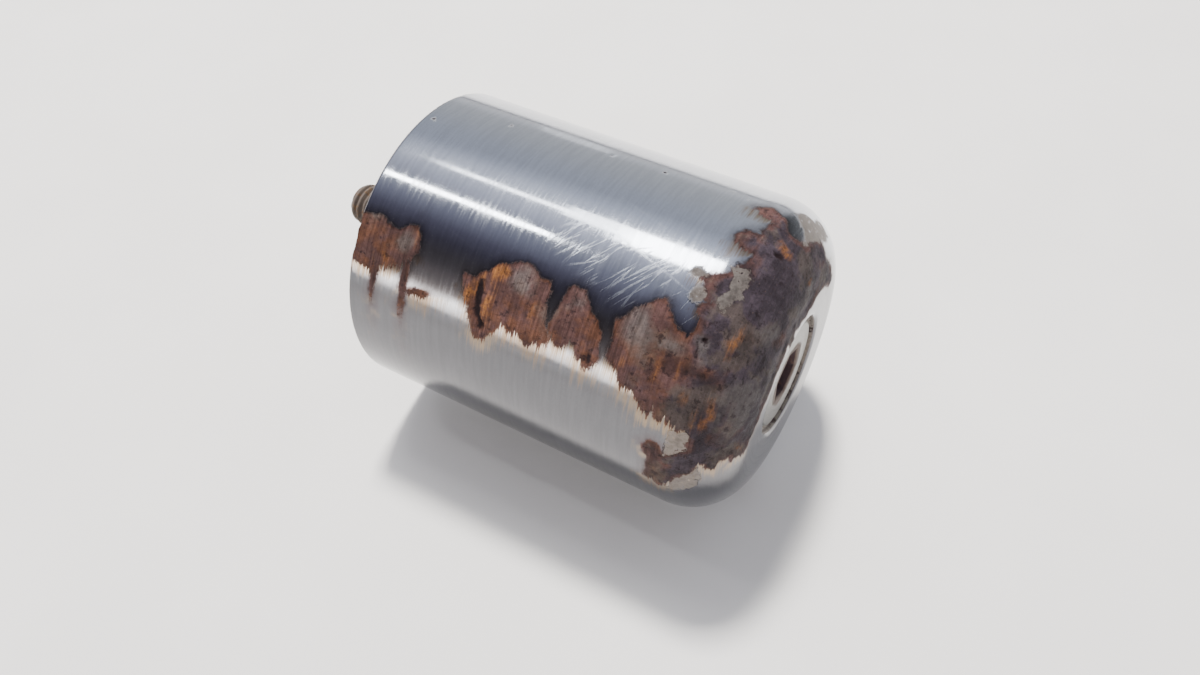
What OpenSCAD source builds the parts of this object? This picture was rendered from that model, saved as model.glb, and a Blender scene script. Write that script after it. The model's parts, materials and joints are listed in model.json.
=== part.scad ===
// Roller fairlead post: a domed, chromed steel barrel that turns on a
// shoulder-screw spindle, which bolts it to a deck.
// The axis lies along +X.  X = 0 is the face that seats on the deck, the
// domed end is at +X and the threaded stud points to -X.  +Z is up.

/* [Barrel] */
// Outside diameter of the barrel
barrel_d = 63.5; // [56:0.5:90]
// Length of the barrel from its open rim to its closed end
barrel_len = 81; // [55:0.5:140]
// Wall of the drawn shell
shell_wall = 2.5; // [1.5:0.1:3.5]
// Outside radius of the shoulder between the side and the closed end
shoulder_r = 12.5; // [5:0.5:15]
// Rounding of the recess mouth in the closed end
lip_r = 1.2; // [0.5:0.1:2]

/* [Base ring] */
// Thickness of the ring that closes the open end
ring_t = 12; // [9.5:0.5:18]
// How far the ring sits inside the shell's rim
ring_inset = 0.6; // [0.2:0.1:2]
// Break on the ring's outer corner
ring_chamfer = 0.6; // [0.2:0.1:1.2]

/* [Hub and bushes] */
// Wall of the hub tube
hub_wall = 4.7; // [3.5:0.1:6]
// Wall of each bush's sleeve
bush_wall = 1.6; // [1:0.1:2.5]
// Thickness of each bush's flange
flange_t = 1.5; // [1:0.1:3]
// Length of each bush's sleeve
sleeve_len = 18; // [8:0.5:22]

/* [Spindle] */
// Diameter of the plain shoulder that the barrel turns on
shoulder_d = 12.7; // [10:0.1:16]
// Outside diameter of the thread
thread_d = 9.525; // [8:0.005:11.5]
// Length of thread beyond the seating face
thread_len = 23.5; // [12:0.5:60]
// Diameter of the relief between shoulder and thread
relief_d = 7.8; // [6:0.1:7.8]
// Diameter of the screw's head
head_d = 21.8; // [18:0.1:26.5]
// Height of the screw's head
head_h = 5; // [4.2:0.1:8]
// Depth of the head's top below the closed end
head_inset = 0.75; // [0.3:0.05:3]
// Width across flats of the hex socket
socket_af = 9.525; // [6:0.005:11.5]
// Metal left under the hex socket, within the head
socket_floor = 0.4; // [0.3:0.1:1]

/* [Washers and ring] */
// Outside diameter of the base washer
washer_d = 37; // [36:0.5:44]
// Thickness of the base washer
washer_t = 4; // [2.5:0.1:6]
// How far the base washer stands proud of the shell's rim
washer_proud = 0.6; // [0.3:0.1:2]
// Thickness of each thrust washer
thrust_t = 1; // [0.5:0.1:2]
// Thickness of the retaining ring
clip_t = 1; // [0.8:0.1:1.5]
// Radial width of the retaining ring
clip_w = 2.6; // [1.8:0.1:3]
// Depth of the retaining ring's groove
clip_groove = 0.8; // [0.4:0.1:1.2]
// Opening of the retaining ring
clip_gap = 6; // [3:0.5:8]

/* [Seals] */
// Thickness of the O-ring around the head
head_seal_t = 1.7; // [1.2:0.1:2]
// Thickness of the felt ring between base washer and base ring
base_seal_w = 4.4; // [2:0.1:4.5]

/* [Clearances] */
// Radial clearance of the bushes on the shoulder
running = 0.05; // [0.01:0.01:0.1]
// End float of the barrel at each end of the spindle
end_float = 0.25; // [0.1:0.05:0.5]
// Gap between the head and the wall of its recess
head_gap = 1; // [0.6:0.1:2]
// Gap between the base washer and the ring around it
washer_gap = 0.5; // [0.3:0.1:1.5]
// Gap between parts that lie close without fitting
free_gap = 0.3; // [0.2:0.05:0.5]

/* [Hidden] */
$fn = 128;

barrel_r = barrel_d / 2;
spindle_r = shoulder_d / 2;
thread_r = thread_d / 2;
head_r = head_d / 2;
bush_bore_r = spindle_r + running;
hub_in_r = bush_bore_r + bush_wall;
hub_out_r = hub_in_r + hub_wall;
recess_r = head_r + head_gap;
washer_r = washer_d / 2;
washer_bore_r = thread_r + free_gap;
ring_out_r = barrel_r - shell_wall;
counterbore_r = washer_r + washer_gap;

// Stations along the axis, from the seating face towards the closed end.
rim_x = washer_proud;
end_x = rim_x + barrel_len;
ring_x = rim_x + ring_inset;
groove_x = washer_t + free_gap;
lower_thrust_x = groove_x + clip_t + free_gap / 3;
lower_flange_x = lower_thrust_x + thrust_t + end_float;
hub_x = lower_flange_x + flange_t;
head_top_x = end_x - head_inset;
head_x = head_top_x - head_h;
top_thrust_x = head_x - thrust_t;
upper_flange_x = top_thrust_x - end_float;
seal_x = (head_x + head_top_x) / 2;
recess_floor_x = upper_flange_x - flange_t;

thread_chamfer = 1;
edge_break = 0.5;

// The axis of revolution is the profile's Y axis, laid along +X.
module turned() {
    rotate([0, 90, 0]) rotate_extrude() children();
}

// Rectangle of a turned profile between two radii and two stations.
module band(r_in, r_out, x0, x1) {
    translate([r_in, x0]) square([r_out - r_in, x1 - x0]);
}

// Plain turned ring.
module plain_ring(r_in, r_out, x0, x1) {
    turned() band(r_in, r_out, x0, x1);
}

// Turned disc profile with both outer corners broken.
module broken_band(r_in, r_out, x0, x1, brk) {
    polygon([[r_in, x0], [r_out - brk, x0], [r_out, x0 + brk],
             [r_out, x1 - brk], [r_out - brk, x1], [r_in, x1]]);
}

// Solid half profile of a cup: a cylinder with one rounded end at x1.
module cup_profile(r, x0, x1, round_r) {
    band(0, r, x0, x1 - round_r);
    band(0, r - round_r, x0, x1);
    translate([r - round_r, x1 - round_r]) circle(round_r);
}

// Material between a square corner and its rounding at the recess mouth.
module lip_cut() {
    difference() {
        translate([recess_r - 1, end_x - lip_r]) square([lip_r + 1, lip_r + 1]);
        translate([recess_r + lip_r, end_x - lip_r]) circle(lip_r);
        translate([recess_r + lip_r, end_x - lip_r]) square(lip_r + 2);
    }
}

module shell() {
    inner_round = max(shoulder_r - shell_wall, 1);
    color([0.78, 0.80, 0.84]) turned() difference() {
        cup_profile(barrel_r, rim_x, end_x, shoulder_r);
        // Inside of the cup, around the sunk seat of the screw's head
        difference() {
            cup_profile(ring_out_r, rim_x - 1, end_x - shell_wall, inner_round);
            band(-1, recess_r + shell_wall, recess_floor_x - shell_wall, end_x);
        }
        band(-1, recess_r, recess_floor_x, end_x + 1);
        band(-1, hub_in_r, recess_floor_x - shell_wall - 1, recess_floor_x + 1);
        lip_cut();
        band(-2 * barrel_r, 0, rim_x - 2, end_x + 2);
    }
}

module base_ring() {
    color([0.22, 0.23, 0.25]) turned() difference() {
        broken_band(hub_out_r, ring_out_r, ring_x, ring_x + ring_t, ring_chamfer);
        band(0, counterbore_r, ring_x - 1, hub_x);
    }
}

module hub_tube() {
    color([0.45, 0.45, 0.47])
        plain_ring(hub_in_r, hub_out_r, hub_x, recess_floor_x - shell_wall);
}

module upper_bush() {
    color([0.70, 0.50, 0.25]) turned() {
        band(bush_bore_r, head_r, recess_floor_x, upper_flange_x);
        band(bush_bore_r, hub_in_r, recess_floor_x - sleeve_len, recess_floor_x);
    }
}

module lower_bush() {
    color([0.70, 0.50, 0.25]) turned() {
        band(bush_bore_r, hub_out_r - edge_break, lower_flange_x, hub_x);
        band(bush_bore_r, hub_in_r, hub_x, hub_x + sleeve_len);
    }
}

module hex_socket() {
    socket_depth = head_h - socket_floor;
    translate([head_top_x - socket_depth, 0, 0]) rotate([0, 90, 0])
        cylinder(h = socket_depth + 1, r = socket_af / 2 / cos(30), $fn = 6);
}

// Half outline of the spindle, from the stud's tip to the head's top.
module spindle_profile() {
    relief_r = relief_d / 2;
    clip_r = spindle_r - clip_groove;
    clip_end_x = groove_x + clip_t;
    seal_r = head_r - head_gap;
    seal_half = (head_seal_t + free_gap) / 2;
    polygon([
        [0, -thread_len], [thread_r - thread_chamfer, -thread_len],
        [thread_r, thread_chamfer - thread_len], [thread_r, 0],
        [relief_r, 0], [relief_r, washer_t], [spindle_r, washer_t],
        [spindle_r, groove_x], [clip_r, groove_x],
        [clip_r, clip_end_x], [spindle_r, clip_end_x],
        [spindle_r, head_x], [head_r - edge_break, head_x], [head_r, head_x + edge_break],
        [head_r, seal_x - seal_half], [seal_r, seal_x - seal_half],
        [seal_r, seal_x + seal_half], [head_r, seal_x + seal_half],
        [head_r, head_top_x - edge_break], [head_r - edge_break, head_top_x],
        [0, head_top_x]
    ]);
}

module spindle_bolt() {
    color([0.40, 0.28, 0.22]) difference() {
        turned() spindle_profile();
        hex_socket();
    }
}

module top_thrust_washer() {
    color([0.90, 0.90, 0.86])
        plain_ring(bush_bore_r, head_r - edge_break, top_thrust_x, head_x);
}

module lower_thrust_washer() {
    color([0.90, 0.90, 0.86])
        plain_ring(bush_bore_r, hub_out_r - edge_break, lower_thrust_x, lower_thrust_x + thrust_t);
}

module retaining_ring() {
    clip_in_r = spindle_r - clip_groove;
    color([0.30, 0.30, 0.33]) difference() {
        plain_ring(clip_in_r, clip_in_r + clip_w, groove_x, groove_x + clip_t);
        translate([groove_x - 1, -clip_gap / 2, 0]) cube([clip_t + 2, clip_gap, barrel_r]);
    }
}

module base_washer() {
    color([0.62, 0.63, 0.65]) turned()
        broken_band(washer_bore_r, washer_r, 0, washer_t, edge_break);
}

module head_seal() {
    color([0.10, 0.10, 0.11]) turned()
        translate([head_r - head_gap + head_seal_t / 2, seal_x]) circle(head_seal_t / 2, $fn = 48);
}

module base_seal() {
    seal_out_r = washer_r - edge_break;
    color([0.18, 0.17, 0.16])
        plain_ring(seal_out_r - base_seal_w, seal_out_r, washer_t, hub_x - free_gap);
}

shell();
base_ring();
hub_tube();
upper_bush();
lower_bush();
spindle_bolt();
top_thrust_washer();
lower_thrust_washer();
retaining_ring();
base_washer();
head_seal();
base_seal();
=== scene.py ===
"""Looks of a roller fairlead post: a chromed steel barrel, worn and rusted, lying on a pale floor."""

import json
import logging
import math
from dataclasses import dataclass, field
from enum import Enum
from functools import cached_property

import bmesh
import bpy
import numpy as np
from mathutils import Matrix, Vector


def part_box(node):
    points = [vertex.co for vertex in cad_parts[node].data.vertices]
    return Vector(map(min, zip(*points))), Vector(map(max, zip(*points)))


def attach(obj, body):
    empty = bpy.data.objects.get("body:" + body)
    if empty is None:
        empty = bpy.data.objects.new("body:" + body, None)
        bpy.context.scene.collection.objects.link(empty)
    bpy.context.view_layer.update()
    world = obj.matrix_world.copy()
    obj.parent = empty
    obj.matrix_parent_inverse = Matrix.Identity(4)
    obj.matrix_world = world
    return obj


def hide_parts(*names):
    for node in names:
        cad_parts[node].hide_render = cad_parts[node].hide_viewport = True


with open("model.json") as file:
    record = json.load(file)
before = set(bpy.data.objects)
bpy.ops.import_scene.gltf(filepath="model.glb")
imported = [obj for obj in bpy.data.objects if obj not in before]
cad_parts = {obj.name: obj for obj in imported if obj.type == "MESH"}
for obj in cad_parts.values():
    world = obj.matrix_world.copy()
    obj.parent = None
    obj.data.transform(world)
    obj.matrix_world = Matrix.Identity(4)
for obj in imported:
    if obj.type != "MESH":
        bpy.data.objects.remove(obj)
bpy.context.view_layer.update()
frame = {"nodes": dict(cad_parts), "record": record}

MM = 0.001
LOG = logging.getLogger("fairlead")
Socket = bpy.types.NodeSocket


# ---------------------------------------------------------------- small helpers


def hex_linear(code: str) -> tuple[float, float, float, float]:
    """Turn an sRGB hex colour into linear RGBA.

    Args:
        code: Six hex digits after a hash, such as "#8a5a3c".

    Returns:
        Linear red, green and blue, and an alpha of 1.
    """
    parts = [int(code[i:i + 2], 16) / 255 for i in (1, 3, 5)]
    linear = [c / 12.92 if c <= 0.04045 else ((c + 0.055) / 1.055) ** 2.4 for c in parts]
    return (linear[0], linear[1], linear[2], 1.0)


def smoothstep(low: float, high: float, value: np.ndarray) -> np.ndarray:
    """Ease from 0 at low to 1 at high.

    Args:
        low: Where the step starts.
        high: Where the step ends.
        value: The values to ease.

    Returns:
        Values from 0 to 1.
    """
    t = np.clip((value - low) / (high - low), 0.0, 1.0)
    return t * t * (3.0 - 2.0 * t)


class Grain:
    """Seeded lattice noise over a plane in millimetres."""

    def __init__(self, seed: int, size: int = 256) -> None:
        """Draw the lattice.

        Args:
            seed: Seed of the random draw.
            size: Lattice points along each side, after which it repeats.
        """
        self.size = size
        self.lattice = np.random.default_rng(seed).uniform(-1.0, 1.0, (size, size))

    def layer(self, u: np.ndarray, v: np.ndarray) -> np.ndarray:
        """Return smooth noise from -1 to 1 at lattice coordinates u and v."""
        u0, v0 = np.floor(u), np.floor(v)
        fu, fv = u - u0, v - v0
        fu, fv = fu * fu * (3 - 2 * fu), fv * fv * (3 - 2 * fv)
        i, j = u0.astype(int) % self.size, v0.astype(int) % self.size
        i1, j1 = (i + 1) % self.size, (j + 1) % self.size
        low = self.lattice[i, j] * (1 - fu) + self.lattice[i1, j] * fu
        high = self.lattice[i, j1] * (1 - fu) + self.lattice[i1, j1] * fu
        return low * (1 - fv) + high * fv

    def fractal(self, u: np.ndarray, v: np.ndarray, grain_mm: float, octaves: int = 3) -> np.ndarray:
        """Sum octaves of noise.

        Args:
            u: First coordinate in millimetres.
            v: Second coordinate in millimetres.
            grain_mm: Size of the coarsest grain.
            octaves: How many times the grain is halved.

        Returns:
            Noise of about -1 to 1.
        """
        total = np.zeros_like(u, dtype=float)
        weight = 0.5
        for octave in range(octaves):
            step = 2.0 ** octave / grain_mm
            total += weight * self.layer(u * step + 17.3 * octave, v * step + 9.1 * octave)
            weight *= 0.5
        return total / (1 - 0.5 ** octaves)


# ---------------------------------------------------------------- turned meshes


@dataclass
class Outline:
    """Half profile of a turned piece, built from lines and arcs, in millimetres.

    Each row is a radius and a station along the axis, with the surface's
    outward direction and the distance walked along the outline.
    """

    radius: list[float] = field(default_factory=list)
    station: list[float] = field(default_factory=list)
    out_r: list[float] = field(default_factory=list)
    out_x: list[float] = field(default_factory=list)

    def line(self, start: tuple[float, float], end: tuple[float, float], steps: int) -> "Outline":
        """Add a straight stretch.

        Args:
            start: Radius and station of its first point.
            end: Radius and station of its last point.
            steps: Number of rows, the first point included and the last left out.

        Returns:
            This outline.
        """
        dr, dx = end[0] - start[0], end[1] - start[1]
        length = math.hypot(dr, dx)
        for i in range(steps):
            t = i / steps
            self._row(start[0] + dr * t, start[1] + dx * t, dx / length, -dr / length)
        return self

    def arc(self, centre: tuple[float, float], r: float, start: float, end: float, steps: int) -> "Outline":
        """Add a round stretch about a centre.

        Args:
            centre: Radius and station of the arc's centre.
            r: Radius of the arc.
            start: Angle of the first point in degrees, 0 pointing outwards and 90 along the axis.
            end: Angle of the last point.
            steps: Number of rows, the first point included and the last left out.

        Returns:
            This outline.
        """
        sign = 1.0 if end > start else -1.0
        for i in range(steps):
            a = math.radians(start + (end - start) * i / steps)
            self._row(centre[0] + r * math.cos(a), centre[1] + r * math.sin(a),
                      sign * math.cos(a), sign * math.sin(a))
        return self

    def _row(self, r: float, x: float, nr: float, nx: float) -> None:
        """Add one row."""
        self.radius.append(r)
        self.station.append(x)
        self.out_r.append(nr)
        self.out_x.append(nx)

    def walked(self) -> np.ndarray:
        """Return the distance along the outline at each row."""
        r, x = np.array(self.radius), np.array(self.station)
        steps = np.hypot(np.diff(r), np.diff(x))
        return np.concatenate([[0.0], np.cumsum(steps)])


def turn_mesh(name: str, points: np.ndarray, closed: bool) -> bpy.types.Object:
    """Skin a grid of rows and columns that runs once round the axis.

    Args:
        name: Name of the piece.
        points: Array of rows by columns by 3, in metres.
        closed: True if the last row joins the first.

    Returns:
        The new object, shaded smooth.
    """
    rows, cols = points.shape[:2]
    last = rows if closed else rows - 1
    i = np.arange(last)[:, None]
    j = np.arange(cols)[None, :]
    i1, j1 = (i + 1) % rows, (j + 1) % cols
    quads = np.stack([i * cols + j, i * cols + j1, i1 * cols + j1, i1 * cols + j], axis=-1)
    mesh = bpy.data.meshes.new(name)
    mesh.from_pydata(points.reshape(-1, 3).tolist(), [], quads.reshape(-1, 4).tolist())
    face_outwards(mesh)
    piece = bpy.data.objects.new(name, mesh)
    bpy.context.collection.objects.link(piece)
    return piece


def face_outwards(mesh: bpy.types.Mesh) -> None:
    """Turn every face outwards and shade it smooth."""
    work = bmesh.new()
    work.from_mesh(mesh)
    bmesh.ops.recalc_face_normals(work, faces=work.faces)
    work.to_mesh(mesh)
    work.free()
    mesh.shade_smooth()
    mesh.update()


def store(piece: bpy.types.Object, name: str, values: np.ndarray) -> None:
    """Keep one number per vertex, which a material can read.

    Args:
        piece: The object.
        name: Name of the attribute.
        values: One value per vertex.
    """
    layer = piece.data.attributes.new(name, "FLOAT", "POINT")
    layer.data.foreach_set("value", np.ascontiguousarray(values.reshape(-1), dtype=np.float32))


# ---------------------------------------------------------------- corrosion map


class Layer(Enum):
    """What a stretch of the barrel's surface has turned into."""

    RUST = "rust"
    FLAKE = "flake"
    SLATE = "slate"
    AMBER = "amber"
    CRACK = "crack"
    SWIRL = "swirl"


@dataclass(frozen=True)
class Region:
    """A patch with a drawn outline: stations in mm from the rim, angles in degrees from the top."""

    layer: Layer
    outline: tuple[tuple[float, float], ...]


@dataclass(frozen=True)
class Spot:
    """An oval patch: its place, its half sizes in mm along and around, and its tilt in degrees."""

    layer: Layer
    station: float
    angle: float
    half_along: float
    half_around: float
    tilt: float = 0.0


REGIONS = (
    # Rust at the rim, with one round blister at its far end
    Region(Layer.RUST, ((-2, -41), (2, -40), (5, -39), (8, -41.5), (9.5, -41), (11, -38.5), (12.5, -37.5),
                        (13.7, -41), (13.8, -45), (13, -48), (12, -50), (11, -52.5), (9, -53.5),
                        (7.5, -54.5), (6.5, -55), (6, -58), (5.2, -59.5), (4.5, -58), (3, -56.5),
                        (1.5, -56), (-2, -57))),
    # Middle patch: a cracked orange scab and a broad brown lobe
    Region(Layer.RUST, ((25.2, -46), (27.3, -46), (28.3, -43.5), (29.3, -43), (30, -44.5), (30.6, -41),
                        (32, -38.5), (34, -36.5), (36, -35.6), (38, -36.5), (39.5, -38), (41.5, -38),
                        (42, -41), (41.8, -44), (42.3, -48), (43, -52), (43.5, -55), (43, -58.2), (42, -57),
                        (41, -58.5), (40.3, -60), (39.5, -59), (38.5, -57.5), (37.5, -56.3), (36.8, -58.5),
                        (36, -58), (35, -57), (34, -56.5), (33.5, -59), (33, -61), (32.3, -63),
                        (31.5, -64.5), (30, -65), (29.2, -63.5), (28.5, -61), (27.5, -57), (26.5, -53),
                        (25.8, -49))),
    # Second lobe
    Region(Layer.RUST, ((45.2, -38), (46, -36.5), (48, -36.5), (49, -39), (50.5, -42.5), (52.5, -44),
                        (53, -48), (53.2, -51), (54, -53.5), (53.5, -57), (53, -60), (52, -58.5),
                        (51, -57.5), (50, -56), (49.5, -53.5), (48, -52.5), (47, -56), (46, -56),
                        (45, -54.5), (44.5, -52), (44.6, -46), (45.2, -42))),
    # The large sheet over the side's end, the shoulder and part of the closed end
    Region(Layer.RUST, ((55.5, -42), (56.5, -40), (57.5, -37.5), (59, -34), (60.5, -32), (62, -30.3),
                        (63, -31.5), (64, -34), (65.5, -36), (67, -37), (68.3, -38.5), (69.3, -36),
                        (69.4, -33), (69, -30), (68.5, -28), (69.5, -25.5), (68.5, -24.5), (67.5, -22.5),
                        (67, -20), (66, -19), (68, -18), (70.3, -14), (71.5, -10.5), (72.3, -6), (71.8, -2),
                        (71.5, 2), (71.3, 6), (71.6, 10), (72, 12), (71.8, 16), (73, 17), (73.7, 15),
                        (74.2, 12.5), (75.5, 11), (77, 12), (78, 14), (79, 18), (79.3, 22), (79.6, 27),
                        (80, 30), (82, 31), (84, 33), (85, 38), (85.5, 44), (86.5, 50), (87.5, 58),
                        (88.3, 58), (88.7, 50), (89.2, 40), (90.5, 30), (91.8, 24), (92.2, 18), (92.8, 12),
                        (92.5, 5), (92.2, -2), (91, -7), (93, -9), (96.5, -8.5), (97, -11), (91.5, -19),
                        (92.5, -25), (92.7, -35), (92.3, -45), (93, -52), (92.5, -58), (91, -65),
                        (90.5, -72), (89.5, -76), (88, -79), (87, -83), (86, -85), (84.8, -83.5), (83, -84),
                        (82.8, -80), (81.5, -79.5), (80, -81), (79, -83.5), (78, -82.5), (77.5, -80.7),
                        (76.3, -81), (75, -83), (74.8, -85), (73.5, -86.5), (72.5, -88), (71.5, -91),
                        (70.5, -93), (69.5, -95), (68, -93.5), (67, -94), (66.5, -92.5), (67, -87),
                        (67, -82), (66.6, -79), (66.2, -77), (67, -75), (68.2, -75.3), (69, -77.5),
                        (70, -78), (71, -77.2), (72.5, -75.5), (73.7, -73.5), (73.8, -71), (73.2, -69),
                        (72, -66.5), (70.5, -67), (69.5, -64.5), (68.3, -65.5), (67.2, -66), (66.5, -62),
                        (66, -62.5), (65.5, -65), (65, -66), (64.5, -63.5), (62.5, -61), (61, -60.3),
                        (60, -60.8), (59.3, -59), (58.3, -55.5), (57.3, -54.8), (56.3, -54), (56, -50),
                        (56.2, -47))),
    # Plating that has lifted and gone pale
    Region(Layer.FLAKE, ((70.3, -11), (71.5, -10.5), (73, -10), (73.8, -13), (73.5, -18), (73.3, -22),
                         (72, -25.5), (71, -26.5), (70.6, -24), (70.9, -20), (70.5, -16))),
    Region(Layer.FLAKE, ((64, -17), (65.5, -16), (67, -18), (66, -20), (64.5, -20.3), (63.8, -18.5))),
    Region(Layer.FLAKE, ((65, -23), (66.5, -21.5), (68, -24.5), (68.5, -27.5), (66.5, -27.5), (65, -25.5))),
    Region(Layer.FLAKE, ((69.5, -76), (70, -71), (70.3, -68.5), (72, -67), (73.5, -70), (73.6, -73),
                         (72, -75.5), (71, -77), (69.7, -77.2))),
    Region(Layer.FLAKE, ((71, -94.5), (72, -91), (72.8, -88), (74.5, -86.5), (75.2, -83), (76.2, -82.5),
                         (76.3, -85), (75.9, -88), (76.2, -91), (75.6, -93.5), (74, -95), (72.5, -95.5))),
    Region(Layer.FLAKE, ((73.8, 24), (74.5, 30), (75.5, 33), (77, 34), (77, 42), (79.5, 44), (81, 35),
                         (80, 31), (79.4, 27), (79, 20), (78, 15), (77.5, 17), (76.8, 20), (75.3, 22))),
    # Dull grey scale
    Region(Layer.SLATE, ((80, -43), (82.5, -42), (84, -47), (85.3, -52), (84.8, -58), (83.8, -64),
                         (82, -68), (79, -63), (77.3, -57), (76.5, -52), (77, -47))),
    Region(Layer.SLATE, ((70.6, -38), (71.8, -36), (72.6, -37), (72.4, -41), (71.3, -46), (70.6, -45))),
    # The split in the orange scab
    Region(Layer.CRACK, ((27.9, -45), (28.9, -44.5), (29.6, -50), (30.1, -56), (31.1, -61.5), (30.1, -62.5),
                         (28.8, -57), (28.1, -50))),
    # Rubbing swirls in the plating
    Region(Layer.SWIRL, ((40, -17), (69, -16), (69, -36), (52, -37), (44, -31), (37, -27))),
)

SPOTS = (
    Spot(Layer.RUST, 69.7, -1.2, 1.8, 2.1), Spot(Layer.RUST, 70.2, 15.3, 2.1, 1.6),
    Spot(Layer.RUST, 15.8, -59, 1.3, 0.5, -20), Spot(Layer.RUST, 12.6, -57, 0.35, 2.3),
    Spot(Layer.RUST, 43.3, -55.5, 0.6, 0.9), Spot(Layer.RUST, 5.5, -60, 0.25, 1.2),
    Spot(Layer.SLATE, 11.4, -43.5, 2.0, 2.7), Spot(Layer.SLATE, 3, -36, 2.9, 2.9),
    Spot(Layer.SLATE, 36.2, -40.5, 3.2, 3.0), Spot(Layer.SLATE, 59.2, -39.5, 3.2, 3.6),
    Spot(Layer.SLATE, 47.3, -39.5, 2.0, 2.4), Spot(Layer.SLATE, 43.4, -45, 1.2, 2.6),
    Spot(Layer.SLATE, 81.5, -25, 1.8, 2.6), Spot(Layer.SLATE, 66, -42, 2.0, 1.5),
    Spot(Layer.SLATE, 87.5, 5, 2.2, 4.5), Spot(Layer.SLATE, 80.5, -66, 1.8, 3.4),
    Spot(Layer.AMBER, 75.8, -33.5, 1.7, 3.2, 8), Spot(Layer.AMBER, 64.8, -50, 0.8, 3.4, 6),
    Spot(Layer.AMBER, 58.8, -52, 0.8, 1.6), Spot(Layer.AMBER, 68.3, -49, 0.7, 2.4),
    Spot(Layer.AMBER, 71, -55, 0.7, 2.4), Spot(Layer.AMBER, 75.8, -60, 1.5, 4.2, 4),
    Spot(Layer.AMBER, 73.6, -63, 0.8, 3.4), Spot(Layer.AMBER, 84.5, 9.5, 1.3, 2.0),
    Spot(Layer.AMBER, 76.5, 5, 2.1, 1.8), Spot(Layer.AMBER, 84, -78, 0.9, 2.8, -12),
    Spot(Layer.AMBER, 7.5, -52, 0.9, 2.4), Spot(Layer.AMBER, 4.8, -53, 0.5, 1.8),
    Spot(Layer.AMBER, 27.2, -51, 1.6, 5.2, 22), Spot(Layer.AMBER, 31.2, -53, 1.4, 5.4, 6),
    Spot(Layer.AMBER, 32, -41.5, 1.8, 2.4, 30), Spot(Layer.AMBER, 28.6, -44.5, 1.0, 1.2),
    Spot(Layer.AMBER, 13.1, -41.5, 0.7, 2.4), Spot(Layer.AMBER, 40.5, -50, 0.8, 3.0),
    Spot(Layer.CRACK, 71.3, -36.8, 0.9, 0.7),
    Spot(Layer.CRACK, 70.4, -41, 0.4, 1.8), Spot(Layer.CRACK, 75.8, 1.2, 1.3, 0.7),
    Spot(Layer.CRACK, 70.3, -47, 0.4, 1.4), Spot(Layer.CRACK, 52.6, -56, 0.6, 1.4),
    Spot(Layer.CRACK, 2.3, 2.5, 0.6, 0.6), Spot(Layer.CRACK, 48.5, 18.5, 0.4, 0.5),
    Spot(Layer.CRACK, 61.7, 22, 0.4, 0.6), Spot(Layer.CRACK, 65.2, 19.5, 0.3, 0.6, 30),
    Spot(Layer.CRACK, 16, 14, 0.3, 0.6, 20), Spot(Layer.CRACK, 37.6, 17, 0.4, 0.4),
    # The far side, away from the worst of the weather
    Spot(Layer.RUST, 58, 128, 4.5, 2.6, 25), Spot(Layer.RUST, 63, 121, 2.0, 1.6),
    Spot(Layer.RUST, 22, 152, 2.4, 1.5, -15), Spot(Layer.RUST, 74, 150, 3.0, 4.2),
    Spot(Layer.RUST, 4, 105, 2.6, 1.2), Spot(Layer.AMBER, 58, 127, 1.6, 1.0),
    Spot(Layer.AMBER, 74, 148, 1.2, 1.8), Spot(Layer.RUST, 38, -168, 3.2, 1.8),
    Spot(Layer.RUST, 80, -160, 2.6, 3.0), Spot(Layer.SLATE, 58.6, 129.5, 1.4, 0.9),
)


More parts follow.
